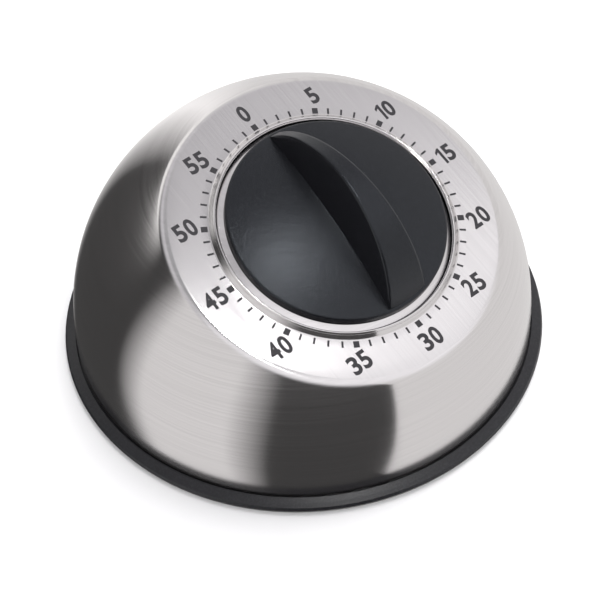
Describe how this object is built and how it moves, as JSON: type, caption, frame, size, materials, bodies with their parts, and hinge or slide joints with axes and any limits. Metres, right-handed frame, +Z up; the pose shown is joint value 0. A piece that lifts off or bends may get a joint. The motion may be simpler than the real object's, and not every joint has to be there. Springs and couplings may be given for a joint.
{
  "type": "kitchen timer",
  "caption": "Clockwork kitchen timer: a steel dome with a slanted minute dial, a knob with a wedge-shaped finger bar, and a wheel train, mainspring, hammer and bell inside.",
  "frame": {"origin": "bottom centre of the foot ring, on the table", "axes": "+Z up; -Y is the front, towards which the dial face slants; +X is the side of the 15 minute mark"},
  "size_m": [0.095, 0.095, 0.0503],
  "materials": {
    "shell_steel": "brushed",
    "black_base": "satin",
    "black_knob": "fine texture",
    "foot_rubber": "matte",
    "zinc_steel": "plated",
    "spring_steel": "tempered",
    "bell_steel": "bright",
    "brass": "stamped"
  },
  "bodies": {
    "case": {"dome_shell": "shell_steel", "base_tray": "black_base", "foot_ring": "foot_rubber", "base_screws": "zinc_steel", "base_brackets": "zinc_steel", "front_plate": "brass", "rear_plate": "brass", "pillars": "brass", "pillar_nuts": "brass", "movement_screws": "zinc_steel", "stop_pin": "zinc_steel", "mainspring": "spring_steel", "spring_post": "zinc_steel", "bell": "bell_steel", "bell_post": "zinc_steel", "bell_nut": "zinc_steel", "hammer_spring": "spring_steel"},
    "knob": {"knob": "black_knob", "knob_ring": "shell_steel", "main_arbor": "zinc_steel", "arbor_clip": "spring_steel", "ratchet_wheel": "zinc_steel", "trip_cam": "brass"},
    "great": {"great_wheel": "brass", "click_screw": "zinc_steel", "click_spring": "spring_steel"},
    "click": {"click": "zinc_steel"},
    "second": {"second_arbor": "zinc_steel", "second_wheel": "brass"},
    "third": {"third_arbor": "zinc_steel", "third_wheel": "brass"},
    "escape": {"escape_arbor": "zinc_steel", "escape_wheel": "brass"},
    "balance": {"balance_arbor": "zinc_steel", "pallet_lever": "zinc_steel", "balance_wheel": "brass"},
    "trip": {"trip_arbor": "zinc_steel", "trip_lever": "zinc_steel"},
    "hammer": {"hammer_arbor": "zinc_steel", "hammer_arm": "zinc_steel", "hammer_head": "zinc_steel"}
  },
  "joints": [
    {"name": "knob_turn", "type": "hinge", "parent": "case", "child": "knob", "pos_m": [0, -0.01091, 0.03511], "axis": [0, 0.3368, -0.9416], "range_deg": [0, 351]},
    {"name": "great_turn", "type": "hinge", "parent": "case", "child": "great", "pos_m": [0, -0.00896, 0.02965], "axis": [0, 0.3368, -0.9416], "continuous": true},
    {"name": "click_pivot", "type": "hinge", "parent": "great", "child": "click", "pos_m": [-0.00844, -0.01371, 0.02933], "axis": [0, -0.3368, 0.9416], "range_deg": [0, 10], "stiffness_Nm_per_rad": 0.001, "springref_deg": -5.73},
    {"name": "second_turn", "type": "hinge", "parent": "case", "child": "second", "pos_m": [0.008, 0.00651, 0.02753], "axis": [0, 0.3368, -0.9416], "continuous": true},
    {"name": "third_turn", "type": "hinge", "parent": "case", "child": "third", "pos_m": [-0.00231, 0.01094, 0.03283], "axis": [0, 0.3368, -0.9416], "continuous": true},
    {"name": "escape_turn", "type": "hinge", "parent": "case", "child": "escape", "pos_m": [-0.0102, 0.00897, 0.02979], "axis": [0, 0.3368, -0.9416], "continuous": true},
    {"name": "balance_swing", "type": "hinge", "parent": "case", "child": "balance", "pos_m": [-0.01496, 0.00485, 0.02449], "axis": [0, -0.3368, 0.9416], "range_deg": [-5, 5]},
    {"name": "trip_pivot", "type": "hinge", "parent": "case", "child": "trip", "pos_m": [-0.0145, -0.01702, 0.01657], "axis": [0, -0.3368, 0.9416], "range_deg": [0, 6], "stiffness_Nm_per_rad": 0.001, "springref_deg": -5.73},
    {"name": "hammer_swing", "type": "hinge", "parent": "case", "child": "hammer", "pos_m": [0.0175, -0.01278, 0.01213], "axis": [0, -0.3368, 0.9416], "range_deg": [0, 7], "stiffness_Nm_per_rad": 0.003, "springref_deg": -5.73}
  ],
  "couplings": [
    {"joint": "great_turn", "follows": "knob_turn", "ratio": 1},
    {"joint": "second_turn", "follows": "knob_turn", "ratio": -9},
    {"joint": "third_turn", "follows": "knob_turn", "ratio": 67.5},
    {"joint": "escape_turn", "follows": "knob_turn", "ratio": -405}
  ]
}
